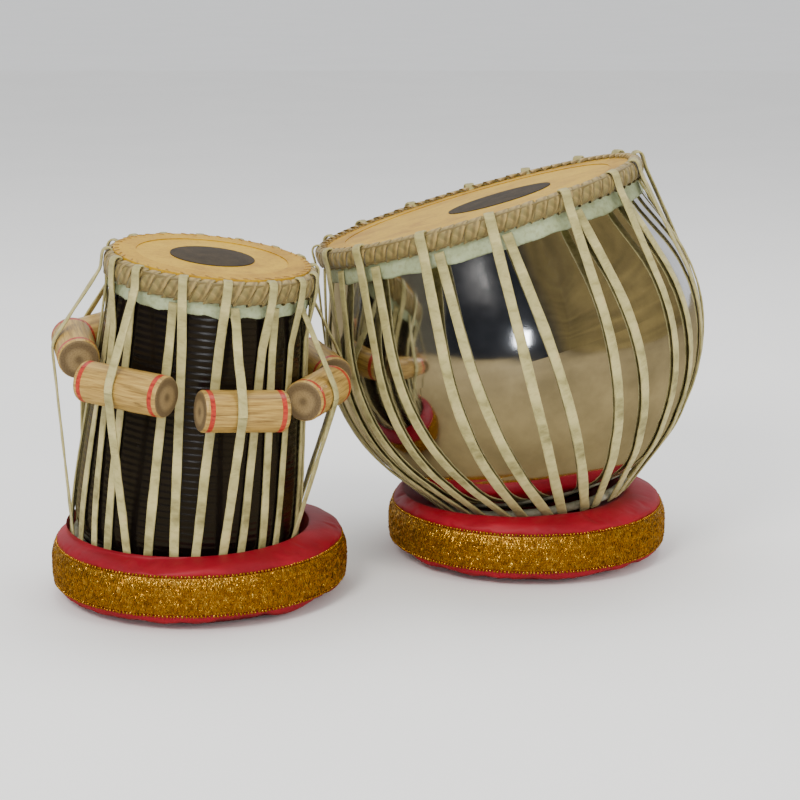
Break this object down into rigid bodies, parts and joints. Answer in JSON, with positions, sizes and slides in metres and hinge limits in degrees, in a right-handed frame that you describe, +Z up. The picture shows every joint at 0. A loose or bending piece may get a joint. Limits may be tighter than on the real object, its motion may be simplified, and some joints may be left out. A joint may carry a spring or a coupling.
{
  "type": "tabla",
  "caption": "A tabla: a small lacquered wooden drum and a large chromed kettle drum with laced skin heads, each on a ring cushion.",
  "frame": {"origin": "on the floor, at the centre of the outline of both drums and cushions", "axes": "+Z up, +X from the small drum to the large one, -Y towards the player's side"},
  "size_m": [0.5219, 0.3906, 0.3337],
  "materials": {
    "black_lacquered_wood": "gloss",
    "chromed_metal": "polished",
    "lining_skin": "matte",
    "main_skin": "satin",
    "edge_skin": "satin",
    "black_paste": "matte",
    "plait_leather": "matte",
    "plait_core": "matte",
    "strap_leather": "satin",
    "ring_leather": "matte",
    "dowel_wood": "satin",
    "crimson_satin": "satin",
    "cushion_filling": "matte",
    "gold_trim": "glitter",
    "gold_beads": "glitter"
  },
  "bodies": {
    "dayan_ring": {"dayan_cushion_cover": "crimson_satin", "dayan_cushion_filling": "cushion_filling", "dayan_cushion_trim": "gold_trim", "dayan_cushion_trim_edges": "gold_beads"},
    "dayan": {"dayan_shell": "black_lacquered_wood", "dayan_lining_skin": "lining_skin", "dayan_main_skin": "main_skin", "dayan_edge_skin": "edge_skin", "dayan_tuning_spot": "black_paste", "dayan_plait_core": "plait_core", "dayan_plait": "plait_leather", "dayan_bottom_ring": "ring_leather", "dayan_over_straps": "strap_leather", "dayan_under_straps": "strap_leather", "dayan_dowel_strap_1": "strap_leather", "dayan_dowel_strap_2": "strap_leather", "dayan_dowel_strap_3": "strap_leather", "dayan_dowel_strap_4": "strap_leather", "dayan_dowel_strap_5": "strap_leather", "dayan_dowel_strap_6": "strap_leather", "dayan_dowel_strap_7": "strap_leather", "dayan_dowel_strap_8": "strap_leather"},
    "dowel_1": {"tuning_dowel_1": "dowel_wood"},
    "dowel_2": {"tuning_dowel_2": "dowel_wood"},
    "dowel_3": {"tuning_dowel_3": "dowel_wood"},
    "dowel_4": {"tuning_dowel_4": "dowel_wood"},
    "dowel_5": {"tuning_dowel_5": "dowel_wood"},
    "dowel_6": {"tuning_dowel_6": "dowel_wood"},
    "dowel_7": {"tuning_dowel_7": "dowel_wood"},
    "dowel_8": {"tuning_dowel_8": "dowel_wood"},
    "bayan_ring": {"bayan_cushion_cover": "crimson_satin", "bayan_cushion_filling": "cushion_filling", "bayan_cushion_trim": "gold_trim", "bayan_cushion_trim_edges": "gold_beads"},
    "bayan": {"bayan_shell": "chromed_metal", "bayan_lining_skin": "lining_skin", "bayan_main_skin": "main_skin", "bayan_edge_skin": "edge_skin", "bayan_tuning_spot": "black_paste", "bayan_plait_core": "plait_core", "bayan_plait": "plait_leather", "bayan_bottom_ring": "ring_leather", "bayan_over_straps": "strap_leather", "bayan_under_straps": "strap_leather"}
  },
  "joints": [
    {"name": "dayan_turn", "type": "hinge", "parent": "dayan_ring", "child": "dayan", "pos_m": [-0.1315, -0.081, 0.2663], "axis": [0.1235, -0.0467, 0.9912], "range_deg": [-90, 90]},
    {"name": "dowel_slide_1", "type": "slide", "parent": "dayan", "child": "dowel_1", "axis": [-0.1596, -0.0198, -0.987], "range_m": [-0.014, 0.022], "deforming": ["dayan_dowel_strap_1"]},
    {"name": "dowel_slide_2", "type": "slide", "parent": "dayan", "child": "dowel_2", "axis": [-0.0931, -0.0226, -0.9954], "range_m": [-0.014, 0.022], "deforming": ["dayan_dowel_strap_2"]},
    {"name": "dowel_slide_3", "type": "slide", "parent": "dayan", "child": "dowel_3", "axis": [-0.0524, 0.0211, -0.9984], "range_m": [-0.014, 0.022], "deforming": ["dayan_dowel_strap_3"]},
    {"name": "dowel_slide_4", "type": "slide", "parent": "dayan", "child": "dowel_4", "axis": [-0.0539, 0.0766, -0.9956], "range_m": [-0.014, 0.022], "deforming": ["dayan_dowel_strap_4"]},
    {"name": "dowel_slide_5", "type": "slide", "parent": "dayan", "child": "dowel_5", "axis": [-0.0937, 0.1165, -0.9888], "range_m": [-0.014, 0.022], "deforming": ["dayan_dowel_strap_5"]},
    {"name": "dowel_slide_6", "type": "slide", "parent": "dayan", "child": "dowel_6", "axis": [-0.1507, 0.1169, -0.9816], "range_m": [-0.014, 0.022], "deforming": ["dayan_dowel_strap_6"]},
    {"name": "dowel_slide_7", "type": "slide", "parent": "dayan", "child": "dowel_7", "axis": [-0.1907, 0.0794, -0.9784], "range_m": [-0.014, 0.022], "deforming": ["dayan_dowel_strap_7"]},
    {"name": "dowel_slide_8", "type": "slide", "parent": "dayan", "child": "dowel_8", "axis": [-0.1959, 0.0272, -0.9802], "range_m": [-0.014, 0.022], "deforming": ["dayan_dowel_strap_8"]},
    {"name": "bayan_apart", "type": "slide", "parent": "dayan_ring", "child": "bayan_ring", "axis": [1, 0, 0], "range_m": [0, 0.15]},
    {"name": "bayan_tilt", "type": "hinge", "parent": "bayan_ring", "child": "bayan", "pos_m": [0.10452, 0.04001, 0.18361], "axis": [0, 1, 0], "range_deg": [-3, 16]}
  ]
}
